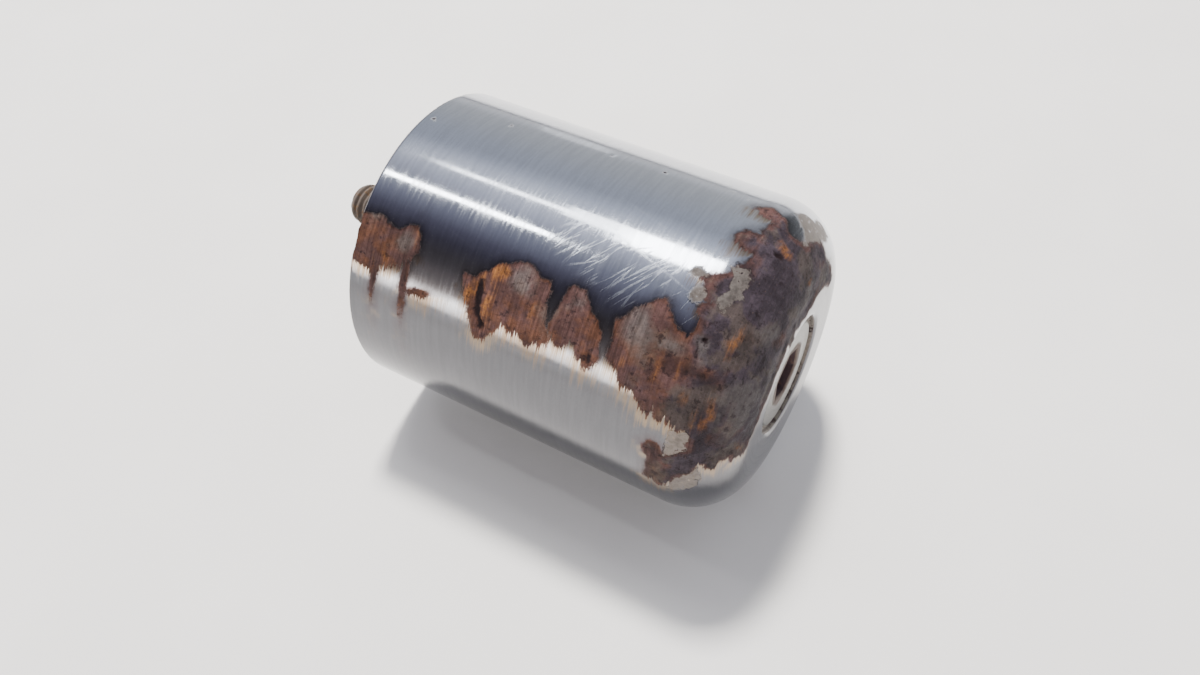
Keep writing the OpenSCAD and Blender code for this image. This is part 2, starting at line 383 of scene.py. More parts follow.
class CorrosionMap:
    """Works out how far inside or outside each layer a point of the barrel lies."""

    OUTSIDE_MM = -6.0
    WARP_MM = {Layer.RUST: 0.6, Layer.FLAKE: 1.3, Layer.SLATE: 1.4, Layer.AMBER: 1.2, Layer.CRACK: 0.7,
               Layer.SWIRL: 1.0}

    def __init__(self, radius_mm: float) -> None:
        """Set the map's scale.

        Args:
            radius_mm: The barrel's radius, which turns angles into millimetres.
        """
        self.mm_per_degree = math.radians(radius_mm)
        self.grain = Grain(seed=11)

    def depth(self, layer: Layer, along: np.ndarray, angle: np.ndarray) -> np.ndarray:
        """Find the distance to the edge of a layer.

        Args:
            layer: The layer to look at.
            along: Distance from the rim at each point, in mm.
            angle: Angle from the top at each point, in degrees.

        Returns:
            Millimetres from the layer's edge, positive inside it.
        """
        around = angle * self.mm_per_degree
        warp = self.WARP_MM[layer]
        u = along + warp * self.grain.fractal(along, around, 2.2)
        v = around + warp * self.grain.fractal(along + 60, around + 31, 2.2)
        best = np.full(along.shape, self.OUTSIDE_MM)
        for region in REGIONS:
            if region.layer is layer:
                best = np.maximum(best, self._inside_outline(region, u, v))
        for spot in SPOTS:
            if spot.layer is layer:
                best = np.maximum(best, self._inside_spot(spot, u, v))
        return best

    def _inside_outline(self, region: Region, u: np.ndarray, v: np.ndarray) -> np.ndarray:
        """Return the signed distance to a drawn outline."""
        corners = np.array(region.outline, dtype=float)
        corners[:, 1] *= self.mm_per_degree
        nearest = np.full(u.shape, 1e9)
        inside = np.zeros(u.shape, dtype=bool)
        for (au, av), (bu, bv) in zip(corners, np.roll(corners, -1, axis=0)):
            du, dv = bu - au, bv - av
            t = np.clip(((u - au) * du + (v - av) * dv) / (du * du + dv * dv), 0.0, 1.0)
            nearest = np.minimum(nearest, np.hypot(u - au - t * du, v - av - t * dv))
            crosses = (av > v) != (bv > v)
            if dv != 0.0:
                inside ^= crosses & (u < au + (v - av) * du / dv)
        return np.where(inside, nearest, -nearest)

    def _inside_spot(self, spot: Spot, u: np.ndarray, v: np.ndarray) -> np.ndarray:
        """Return roughly the signed distance to an oval's edge."""
        turn = 360.0 * self.mm_per_degree
        dv = v - spot.angle * self.mm_per_degree
        dv -= turn * np.round(dv / turn)
        du = u - spot.station
        c, s = math.cos(math.radians(spot.tilt)), math.sin(math.radians(spot.tilt))
        a, b = du * c - dv * s, du * s + dv * c
        reach = np.hypot(a / spot.half_along, b / spot.half_around)
        return np.maximum((1.0 - reach) * min(spot.half_along, spot.half_around), self.OUTSIDE_MM)


# ---------------------------------------------------------------- node building


class Step(Enum):
    """What one node does: its type, and the settings that make it do that."""

    COORDINATES = ("ShaderNodeTexCoord", {})
    STORED = ("ShaderNodeAttribute", {})
    SPLIT = ("ShaderNodeSeparateXYZ", {})
    JOIN = ("ShaderNodeCombineXYZ", {})
    PLUS = ("ShaderNodeMath", {"operation": "ADD"})
    MINUS = ("ShaderNodeMath", {"operation": "SUBTRACT"})
    TIMES = ("ShaderNodeMath", {"operation": "MULTIPLY"})
    LARGER = ("ShaderNodeMath", {"operation": "MAXIMUM"})
    UNSIGNED = ("ShaderNodeMath", {"operation": "ABSOLUTE"})
    BEARING = ("ShaderNodeMath", {"operation": "ARCTAN2"})
    SCALE = ("ShaderNodeVectorMath", {"operation": "SCALE"})
    SHIFT = ("ShaderNodeVectorMath", {"operation": "SUBTRACT"})
    PUSH = ("ShaderNodeVectorMath", {"operation": "MULTIPLY_ADD"})
    FACING = ("ShaderNodeVectorMath", {"operation": "DOT_PRODUCT"})
    UNIT = ("ShaderNodeVectorMath", {"operation": "NORMALIZE"})
    TURN = ("ShaderNodeMapping", {"vector_type": "TEXTURE"})
    RANGE = ("ShaderNodeMapRange", {})
    EASE = ("ShaderNodeMapRange", {"interpolation_type": "SMOOTHSTEP"})
    TERRACE = ("ShaderNodeMapRange", {"interpolation_type": "STEPPED"})
    LEVEL = ("ShaderNodeMix", {"data_type": "FLOAT"})
    BLEND = ("ShaderNodeMix", {"data_type": "RGBA"})
    LEAN = ("ShaderNodeMix", {"data_type": "VECTOR"})
    COLOURS = ("ShaderNodeValToRGB", {})
    NOISE = ("ShaderNodeTexNoise", {})
    CELL_EDGE = ("ShaderNodeTexVoronoi", {"feature": "DISTANCE_TO_EDGE"})
    BUMP = ("ShaderNodeBump", {})
    SURFACE = ("ShaderNodeBsdfPrincipled", {})
    SURFACE_OUT = ("ShaderNodeOutputMaterial", {})
    SKY = ("ShaderNodeBackground", {})
    SKY_OUT = ("ShaderNodeOutputWorld", {})


class Weave:
    """One node tree, joined up node by node, and the patterns that several finishes share."""

    def __init__(self, tree: bpy.types.NodeTree) -> None:
        """Clear the tree and hold it."""
        self.tree = tree
        tree.nodes.clear()

    def add(self, step: Step, *inputs, out: str = "", named: dict | None = None, **settings) -> Socket | None:
        """Add one node with its settings and links.

        Args:
            step: What the node does.
            *inputs: A socket, number or hex colour for each open input in turn; None leaves one as it is.
            out: Name of the output to return, or the first open one.
            named: Values for inputs given by name instead.
            **settings: Further properties of the node.

        Returns:
            The output, or None where the node has none.
        """
        kind, fixed = step.value
        node = self.tree.nodes.new(kind)
        for name, value in {**fixed, **settings}.items():
            setattr(node, name, value)
        joins = list(zip([socket for socket in node.inputs if socket.enabled], inputs))
        joins += [(node.inputs[name], value) for name, value in (named or {}).items()]
        for socket, value in joins:
            if isinstance(value, Socket):
                self.tree.links.new(value, socket)
            elif value is not None:
                socket.default_value = hex_linear(value) if isinstance(value, str) else value
        results = [socket for socket in node.outputs if socket.enabled and out in ("", socket.name)]
        return results[0] if results else None

    @cached_property
    def mm(self) -> Socket:
        """The object's own coordinates in millimetres."""
        return self.add(Step.SCALE, self.add(Step.COORDINATES, out="Object"), 1000.0)

    def warped(self, grain_mm: float, reach_mm: float) -> Socket:
        """Return the millimetre coordinates pushed about by noise."""
        cloud = self.add(Step.NOISE, self.mm, 1 / grain_mm, 3.0, out="Color")
        centred = self.add(Step.SHIFT, cloud, (0.5, 0.5, 0.5))
        return self.add(Step.PUSH, centred, (2 * reach_mm,) * 3, self.mm)

    def terraces(self, size_mm: float, steps: float) -> Socket:
        """Return a height from 0 to 1 in flat steps, as layers of scale that have come away leave."""
        cloud = self.add(Step.NOISE, self.warped(size_mm * 0.6, size_mm * 0.3), 1 / size_mm, 3.0, 0.55)
        return self.add(Step.TERRACE, cloud, 0.32, 0.68, 0.0, 1.0, steps)

    def streaks(self, station: Socket, pitch_mm: float, reach_mm: float, detail: float = 3.0) -> Socket:
        """Return noise drawn out round the axis, as turning or brushing leaves."""
        parts = self.add(Step.SPLIT, self.mm).node.outputs
        stretch = pitch_mm / reach_mm
        y = self.add(Step.TIMES, parts["Y"], stretch)
        z = self.add(Step.TIMES, parts["Z"], stretch)
        at = self.add(Step.JOIN, station, y, z)
        return self.add(Step.NOISE, at, 1 / pitch_mm, detail, 0.6)

    def finish(self, **looks) -> None:
        """Close a material with its surface; names use underscores for spaces."""
        named = {name.replace("_", " "): value for name, value in looks.items()}
        self.add(Step.SURFACE_OUT, self.add(Step.SURFACE, named=named))


def new_material(name: str) -> tuple[bpy.types.Material, Weave]:
    """Make an empty node material.

    Args:
        name: The material's name.

    Returns:
        The material, and the weave of its nodes.
    """
    material = bpy.data.materials.new(name)
    material.use_nodes = True
    return material, Weave(material.node_tree)


# ---------------------------------------------------------------- finishes


class Fields:
    """What the barrel's finish is worked out from: numbers kept on the mesh, and noise of several grains."""

    def __init__(self, w: Weave, finish: "WornChrome") -> None:
        """Read the numbers and lay the noise.

        Args:
            w: The finish's nodes.
            finish: The finish, which holds the grain sizes.
        """
        names = ("station", "around", "drip", "shade_and_dulling", "rust", "flake", "slate", "amber", "crack", "swirl")
        kept = [w.add(Step.STORED, out="Fac", attribute_name=name) for name in names]
        self.station, self.around, self.drip, self.shade_and_dulling, self.rust = kept[:5]
        self.flake, self.slate, self.amber, self.crack, self.swirl = kept[5:]
        self.fine = w.add(Step.NOISE, w.mm, 1 / finish.fine_mm, 5.0, 0.65)
        self.mottle = w.add(Step.NOISE, w.mm, 1 / finish.mottle_mm, 6.0, 0.66)
        self.coarse = w.add(Step.NOISE, w.mm, 1 / finish.coarse_mm, 4.0, 0.6)
        self.hair = w.streaks(self.station, finish.hair_mm, 9.0)
        self.run = w.streaks(self.station, finish.drip_mm, 9.0, 4.0)


@dataclass(frozen=True)
class Scratches:
    """One lot of fine scratches: direction in degrees, spacing and length in mm, and share of the surface."""

    turn: float
    pitch_mm: float
    reach_mm: float
    share: float

    def mask(self, w: Weave, f: Fields) -> Socket:
        """Return 1 on the scratches, over the unrolled side, and 0 between them."""
        bend = w.add(Step.TIMES, w.add(Step.NOISE, w.mm, 1 / 12.0, 1.0, 0.55), 1.6)
        flat = w.add(Step.JOIN, w.add(Step.PLUS, f.station, bend), w.add(Step.MINUS, f.around, bend),
                     self.turn)
        turned = w.add(Step.TURN, flat, None, (0.0, 0.0, math.radians(self.turn)),
                       (1.0, self.reach_mm / self.pitch_mm, 1.0))
        line = w.add(Step.CELL_EDGE, turned, 0.2 / self.pitch_mm)
        cloud = w.add(Step.NOISE, turned, 1 / (self.pitch_mm * 9), 2.0, 0.5)
        where = w.add(Step.EASE, cloud, 0.66 - 0.3 * self.share, 0.74 - 0.3 * self.share)
        return w.add(Step.TIMES, w.add(Step.EASE, line, 0.16, 0.02), where)


@dataclass(frozen=True)
class WornChrome:
    """Bright chrome over circumferentially polished steel, with rust where the plating has gone.

    Chrome reflects almost evenly with a slight blue. On its near lower side and closed end it is darkened
    by painted shade, standing for the shaded floor it mirrors there, and made a little rougher. The rust
    is matt and layered: purple brown scale in plates, redder dust, amber blooms and grey scabs, with
    a soft upper edge and a lower edge drawn out into drips. Lifted plating turns pale and rough.
    """

    chrome: str = "#bdc1c8"
    # Painted shade colour: the chrome is darkened to it on its near lower side and closed end, standing for
    # the shaded floor it mirrors there.
    shade_and_dulling: str = "#68686b"
    film: str = "#5d5253"
    stained: str = "#b9aa92"
    fringe: str = "#8d7a66"
    brown: str = "#483432"
    red_brown: str = "#54382c"
    plate_grey: str = "#363037"
    deep: str = "#1f1719"
    dust: str = "#6f5d52"
    amber: str = "#84562e"
    slate: str = "#575251"
    olive: str = "#484039"
    pale: str = "#746d67"
    polish: float = 0.05
    fine_mm: float = 0.4
    mottle_mm: float = 1.3
    coarse_mm: float = 3.6
    hair_mm: float = 0.3
    drip_mm: float = 0.7
    crust_mm: float = 4.0
    swirls: tuple[Scratches, ...] = (Scratches(-38.0, 0.12, 1.7, 0.45), Scratches(-56.0, 0.15, 2.6, 0.3),
                                     Scratches(-20.0, 0.12, 1.6, 0.25))
    strays: tuple[Scratches, ...] = (Scratches(76.0, 0.5, 9.0, 0.1), Scratches(10.0, 0.5, 7.0, 0.0))

    def make(self) -> bpy.types.Material:
        """Build the material and return it."""
        material, w = new_material("chromed_steel_worn_rusted")
        f = Fields(w, self)
        reach = self._rust_reach(w, f)
        film = w.add(Step.EASE, reach, w.add(Step.LEVEL, f.drip, -1.15, -0.6),
                     w.add(Step.LEVEL, f.drip, -0.3, 0.0))
        rust = w.add(Step.EASE, reach, w.add(Step.LEVEL, f.drip, -0.85, -0.45), 0.3)
        split = w.add(Step.PLUS, f.crack, w.add(Step.TIMES, f.mottle, 1.6))
        crack = w.add(Step.EASE, split, 0.6, 1.15)
        flake, flake_edge = self._flake_cover(w, f)
        rust_colour, height = self._rust_body(w, f, crack)
        halo = w.add(Step.EASE, w.add(Step.PLUS, f.rust, w.add(Step.TIMES, f.coarse, 2.4)), -1.7, 1.1)
        scratch = self._scratch_mask(w, f)

        colour = w.add(Step.BLEND, film, self._plating(w, f, halo, crack), rust_colour)
        pale = w.add(Step.SCALE, hex_linear(self.pale)[:3], w.add(Step.EASE, f.mottle, 0.3, 0.7, 0.65, 1.25))
        colour = w.add(Step.BLEND, flake, colour, pale)
        torn = w.add(Step.TIMES, flake_edge, w.add(Step.EASE, f.coarse, 0.4, 0.6, 0.2, 0.75))
        colour = w.add(Step.BLEND, torn, colour, self.deep)

        gone = w.add(Step.TIMES, rust, w.add(Step.EASE, f.mottle, 0.3, 0.5, 0.82, 1.0))
        gone = w.add(Step.LEVEL, flake, w.add(Step.LARGER, gone, crack), 0.3)
        marks = w.add(Step.LARGER, w.add(Step.TIMES, halo, 0.2), scratch)
        roughness = self._roughness(w, f, marks, flake, gone)
        normal = self._normal(w, f, scratch, height, w.add(Step.LARGER, rust, flake))
        w.finish(Base_Color=colour, Metallic=w.add(Step.MINUS, 1.0, gone), Roughness=roughness, Normal=normal,
                 Specular_IOR_Level=0.15)
        return material

    def _rust_reach(self, w: Weave, f: Fields) -> Socket:
        """Return millimetres inside the rust, with its edge roughened and its lower side drawn into drips."""
        ragged = w.add(Step.PLUS, w.add(Step.TIMES, w.add(Step.MINUS, f.fine, 0.5), 0.9),
                       w.add(Step.TIMES, w.add(Step.MINUS, f.mottle, 0.5), 1.2))
        runs = w.add(Step.TIMES, w.add(Step.MINUS, f.run, 0.5), w.add(Step.LEVEL, f.drip, 0.5, 3.2))
        hairs = w.add(Step.TIMES, w.add(Step.MINUS, f.hair, 0.5), w.add(Step.LEVEL, f.drip, 0.3, 3.4))
        return w.add(Step.PLUS, f.rust, w.add(Step.PLUS, ragged, w.add(Step.PLUS, runs, hairs)))

    def _flake_cover(self, w: Weave, f: Fields) -> tuple[Socket, Socket]:
        """Return the lifted plating's mask, with holes in it, and a thin line along its edge."""
        ragged = w.add(Step.PLUS, w.add(Step.TIMES, w.add(Step.MINUS, f.fine, 0.5), 1.0),
                       w.add(Step.TIMES, w.add(Step.MINUS, f.mottle, 0.5), 2.2))
        reach = w.add(Step.PLUS, f.flake, ragged)
        holes = w.add(Step.EASE, f.mottle, 0.66, 0.58)
        edge = w.add(Step.EASE, w.add(Step.UNSIGNED, w.add(Step.PLUS, reach, 0.12)), 0.2, 0.06)
        return w.add(Step.TIMES, w.add(Step.EASE, reach, -0.3, 0.4), holes), edge

    def _plating(self, w: Weave, f: Fields, halo: Socket, crack: Socket) -> Socket:
        """Return the plating's colour: darkened by painted shade on its near lower side and closed end,
        darkened at the rim's edge, and stained round and below the rust.
        """
        # Painted shade: the near lower side and the closed end are blended toward the painted shade colour.
        plate = w.add(Step.BLEND, f.shade_and_dulling, self.chrome, self.shade_and_dulling)
        # Darkened toward the film colour over the first 0.7 mm from the rim's edge.
        plate = w.add(Step.BLEND, w.add(Step.EASE, f.station, 0.7, 0.0, 0.0, 0.75), plate, self.film)
        smear = w.add(Step.LEVEL, f.drip, 0.55, w.add(Step.EASE, f.hair, 0.38, 0.62, 0.15, 0.85))
        stain = w.add(Step.BLEND, f.drip, self.film, self.stained)
        plate = w.add(Step.BLEND, w.add(Step.TIMES, halo, smear), plate, stain)
        hairs = w.add(Step.PLUS, w.add(Step.TIMES, w.add(Step.MINUS, f.run, 0.5), 6.0),
                      w.add(Step.TIMES, w.add(Step.MINUS, f.hair, 0.5), 8.0))
        fringe = w.add(Step.EASE, w.add(Step.PLUS, f.rust, hairs), -3.8, 0.2, 0.0, 0.85)
        plate = w.add(Step.BLEND, w.add(Step.TIMES, fringe, f.drip), plate, self.fringe)
        plate = w.add(Step.BLEND, crack, plate, self.deep)
        tone = w.add(Step.PLUS, f.run, w.add(Step.TIMES, f.fine, 0.6))
        return w.add(Step.SCALE, plate, w.add(Step.EASE, tone, 0.6, 1.0, 0.93, 1.04))

    def _rust_body(self, w: Weave, f: Fields, crack: Socket) -> tuple[Socket, Socket]:
        """Return the rust's colour and its height."""
        inside = w.add(Step.PLUS, f.rust, w.add(Step.TIMES, w.add(Step.MINUS, f.coarse, 0.5), 6.0))
        crust = w.add(Step.TIMES, w.add(Step.EASE, f.station, 58.0, 64.0),
                      w.add(Step.EASE, inside, -0.4, 1.2))
        step = w.terraces(self.crust_mm, 4.0)
        redness = w.add(Step.TIMES, w.add(Step.EASE, f.coarse, 0.42, 0.62),
                        w.add(Step.EASE, f.around, -22.0, -12.0, 1.0, 0.2))
        colour = w.add(Step.BLEND, redness, self.brown, self.red_brown)
        cloud = w.add(Step.NOISE, w.mm, 1 / 5.0, 4.0, 0.55)
        colour = w.add(Step.SCALE, colour, w.add(Step.EASE, cloud, 0.35, 0.65, 0.82, 1.2))
        # Plates of purple and olive scale on the crust over the shoulder
        aged = w.add(Step.PLUS, w.add(Step.NOISE, w.mm, 1 / 6.5, 4.0, 0.55),
                     w.add(Step.EASE, f.station, 66.0, 74.0, -0.08, 0.12))
        purple = w.add(Step.TIMES, crust, w.add(Step.EASE, aged, 0.36, 0.58, 0.05, 0.95))
        colour = w.add(Step.BLEND, purple, colour, self.plate_grey)
        cloud = w.add(Step.NOISE, w.warped(9.0, 3.0), 1 / 8.0, 5.0, 0.6)
        olive = w.add(Step.TIMES, crust, w.add(Step.EASE, cloud, 0.5, 0.58))
        colour = w.add(Step.BLEND, w.add(Step.TIMES, olive, 0.55), colour, self.olive)
        tone = w.add(Step.LEVEL, crust, 1.0, w.add(Step.EASE, step, 0.0, 1.0, 0.72, 1.34))
        colour = w.add(Step.SCALE, colour, tone)
        # Grey scabs, amber blooms, dark pits and dust
        slate = w.add(Step.EASE, w.add(Step.PLUS, f.slate, w.add(Step.TIMES, f.coarse, 8.0)), 2.8, 6.0)
        colour = w.add(Step.BLEND, w.add(Step.TIMES, slate, 0.7), colour, self.slate)
        bloom = w.add(Step.EASE, w.add(Step.PLUS, f.amber, w.add(Step.TIMES, f.hair, 1.8)), 0.7, 2.3)
        bloom = w.add(Step.TIMES, bloom, w.add(Step.EASE, f.mottle, 0.38, 0.6, 0.25, 1.0))
        bloom = w.add(Step.TIMES, bloom, w.add(Step.LEVEL, crust, 0.9, 0.75))
        colour = w.add(Step.BLEND, bloom, colour, self.amber)
        colour = w.add(Step.BLEND, w.add(Step.EASE, f.mottle, 0.54, 0.66, 0.0, 0.7), colour, self.deep)
        colour = w.add(Step.BLEND, w.add(Step.EASE, f.fine, 0.6, 0.74, 0.0, 0.45), colour, self.dust)
        # Streaks along the drips, grit, and lighter and darker ends
        streak = w.add(Step.EASE, w.add(Step.PLUS, f.hair, f.run), 0.75, 1.25, 0.72, 1.32)
        streak = w.add(Step.LEVEL, w.add(Step.TIMES, crust, 0.6), streak, 1.0)
        grit = w.add(Step.EASE, w.add(Step.NOISE, w.mm, 1 / 0.7, 6.0, 0.75), 0.35, 0.65, 0.86, 1.16)
        rim = w.add(Step.EASE, f.station, 14.0, 24.0, 0.76, 1.0)
        shoulder = w.add(Step.EASE, f.station, 52.0, 66.0, 1.0, 0.86)
        for tone in (streak, grit, rim, shoulder):
            colour = w.add(Step.SCALE, colour, tone)
        colour = w.add(Step.BLEND, crack, colour, self.deep)
        height = w.add(Step.PLUS, w.add(Step.TIMES, f.mottle, -0.7), w.add(Step.TIMES, f.fine, 0.3))
        height = w.add(Step.PLUS, height, w.add(Step.TIMES, w.add(Step.TIMES, step, crust), 0.5))
        return colour, w.add(Step.PLUS, height, w.add(Step.TIMES, f.hair, 0.1))

    def _scratch_mask(self, w: Weave, f: Fields) -> Socket:
        """Return the scratches in the plating: dense where it was rubbed, sparse elsewhere."""
        rubbed = w.add(Step.EASE, f.swirl, -1.5, 2.0)
        scratched = 0.0
        for lots, strength in ((self.swirls, rubbed), (self.strays, 0.6)):
            for lot in lots:
                scratched = w.add(Step.LARGER, scratched, w.add(Step.TIMES, lot.mask(w, f), strength))
        return scratched

    def _roughness(self, w: Weave, f: Fields, marks: Socket, flake: Socket, gone: Socket) -> Socket:
        """Return the roughness: hazed and scratched plating, matt rust, and lifted plating between them."""
        haze = w.add(Step.EASE, w.add(Step.NOISE, w.mm, 1 / 14.0, 3.0, 0.55), 0.4, 0.75, 0.0, 0.05)
        shine = w.add(Step.PLUS, haze, w.add(Step.EASE, f.hair, 0.35, 0.75, 0.0, 0.11))
        # The painted shade mask also raises the roughness a little.
        shine = w.add(Step.PLUS, w.add(Step.PLUS, shine, w.add(Step.TIMES, f.shade_and_dulling, 0.05)), self.polish)
        shine = w.add(Step.PLUS, shine, w.add(Step.TIMES, marks, 0.22))
        worn = w.add(Step.LEVEL, flake, w.add(Step.EASE, f.fine, 0.25, 0.75, 0.6, 0.88),
                     w.add(Step.EASE, f.mottle, 0.3, 0.7, 0.34, 0.55))
        return w.add(Step.LEVEL, w.add(Step.LARGER, gone, flake), shine, worn)

    def _normal(self, w: Weave, f: Fields, scratch: Socket, height: Socket, rough: Socket) -> Socket:
        """Return the surface's lean: waves, hairs and scratches in the plating, and the rust's grain."""
        wave = w.add(Step.NOISE, w.mm, 1 / 20.0, 2.0, 0.55)
        brushed = w.streaks(f.station, 1.6, 22.0)
        plate = None
        for relief, depth_mm in ((wave, 0.035), (f.hair, 0.0013), (brushed, 0.0008), (scratch, 0.0035)):
            plate = w.add(Step.BUMP, 1.0, depth_mm * MM, None, relief, plate)
        scale = w.add(Step.BUMP, 1.0, 0.3 * MM, None, height)
        return w.add(Step.UNIT, w.add(Step.LEAN, rough, plate, scale))


@dataclass(frozen=True)
class Metal:
    """A plain metal or scale finish: grain, blotches of a second colour and a roughness."""

    name: str
    colour: str
    blotch: str
    metallic: float = 1.0
    rough: float = 0.35
    grain_mm: float = 0.4
    blotch_mm: float = 3.0
    blotch_share: float = 0.4
    depth_mm: float = 0.01
    blotch_metallic: float = 0.0

    def make(self) -> bpy.types.Material:
        """Build the material and return it."""
        material, w = new_material(self.name)
        grain = w.add(Step.NOISE, w.mm, 1 / self.grain_mm, 5.0, 0.65)
        patch = w.add(Step.NOISE, w.mm, 1 / self.blotch_mm, 5.0, 0.6)
        blotched = w.add(Step.EASE, patch, 0.72 - 0.5 * self.blotch_share, 0.84 - 0.5 * self.blotch_share)
        kept = w.add(Step.STORED, out="Fac", attribute_name="grime")
        grime = w.add(Step.EASE, w.add(Step.PLUS, kept, w.add(Step.TIMES, patch, 0.8)), 0.55, 0.95)
        grime = w.add(Step.TIMES, grime, w.add(Step.EASE, kept, 0.0, 0.1))
        mask = w.add(Step.LARGER, blotched, grime)
        colour = w.add(Step.BLEND, mask, self.colour, self.blotch)
        colour = w.add(Step.SCALE, colour, w.add(Step.EASE, grain, 0.2, 0.8, 0.78, 1.18))
        even = self.metallic == self.blotch_metallic
        metallic = self.metallic if even else w.add(Step.LEVEL, mask, self.metallic, self.blotch_metallic)
        shine = w.add(Step.EASE, grain, 0.2, 0.8, self.rough * 0.8, self.rough * 1.25)
        roughness = w.add(Step.LEVEL, mask, shine, 0.8)
        relief = w.add(Step.TIMES, grain, w.add(Step.LEVEL, mask, 0.4, 1.0))
        normal = w.add(Step.BUMP, 1.0, self.depth_mm * MM, None, relief)
        w.finish(Base_Color=colour, Metallic=metallic, Roughness=roughness, Normal=normal)
        return material


# Phosphated and blackened steel are dull and dark, drawn, turned and zinc plated steel grey and even,
# sintered bronze warm, acetal waxy and pale, rubber and felt matt; each is blotched with a stain.
FINISHES = {
    "dark_ring": Metal("phosphated_steel_ring", "#33353a", "#4a342b", 0.7, 0.42, 0.5, 4.0, 0.35, 0.02),
    "hub_steel": Metal("drawn_steel_tube", "#77787c", "#5a4238", 1.0, 0.4, 0.5, 5.0, 0.2, 0.01),
    "bronze": Metal("sintered_bronze", "#a8773f", "#6d4a2a", 1.0, 0.45, 0.25, 3.0, 0.25, 0.02, 0.8),
    "acetal": Metal("moulded_acetal", "#dcdcd4", "#b9b2a2", 0.0, 0.38, 0.6, 4.0, 0.2, 0.004),
    "spring_steel": Metal("blackened_spring_steel", "#2c2d31", "#4b3327", 0.8, 0.35, 0.4, 2.0, 0.2, 0.01),
    "zinc_steel": Metal("zinc_plated_washer_stained", "#85868a", "#6f5b4d", 1.0, 0.4, 0.35, 4.5, 0.24, 0.02),
    "seal_rubber": Metal("nitrile_rubber", "#2b2624", "#5a4638", 0.0, 0.7, 0.3, 2.0, 0.55, 0.03),
    "felt": Metal("greased_felt", "#2a2622", "#1c1917", 0.0, 0.9, 0.2, 2.0, 0.4, 0.08),
}
HEAD_FINISH = Metal("turned_steel_screw_head", "#66645f", "#5d5049", 1.0, 0.3, 0.5, 3.2, 0.16, 0.012)
THREAD_FINISH = Metal("rusted_steel_thread", "#5b524c", "#69533f", 0.0, 0.75, 0.35, 1.6, 0.4, 0.06)
SOCKET_FINISH = Metal("rusted_steel_socket", "#4b3b3e", "#5d463f", 0.0, 0.85, 0.4, 1.5, 0.4, 0.1)


# ---------------------------------------------------------------- the barrel


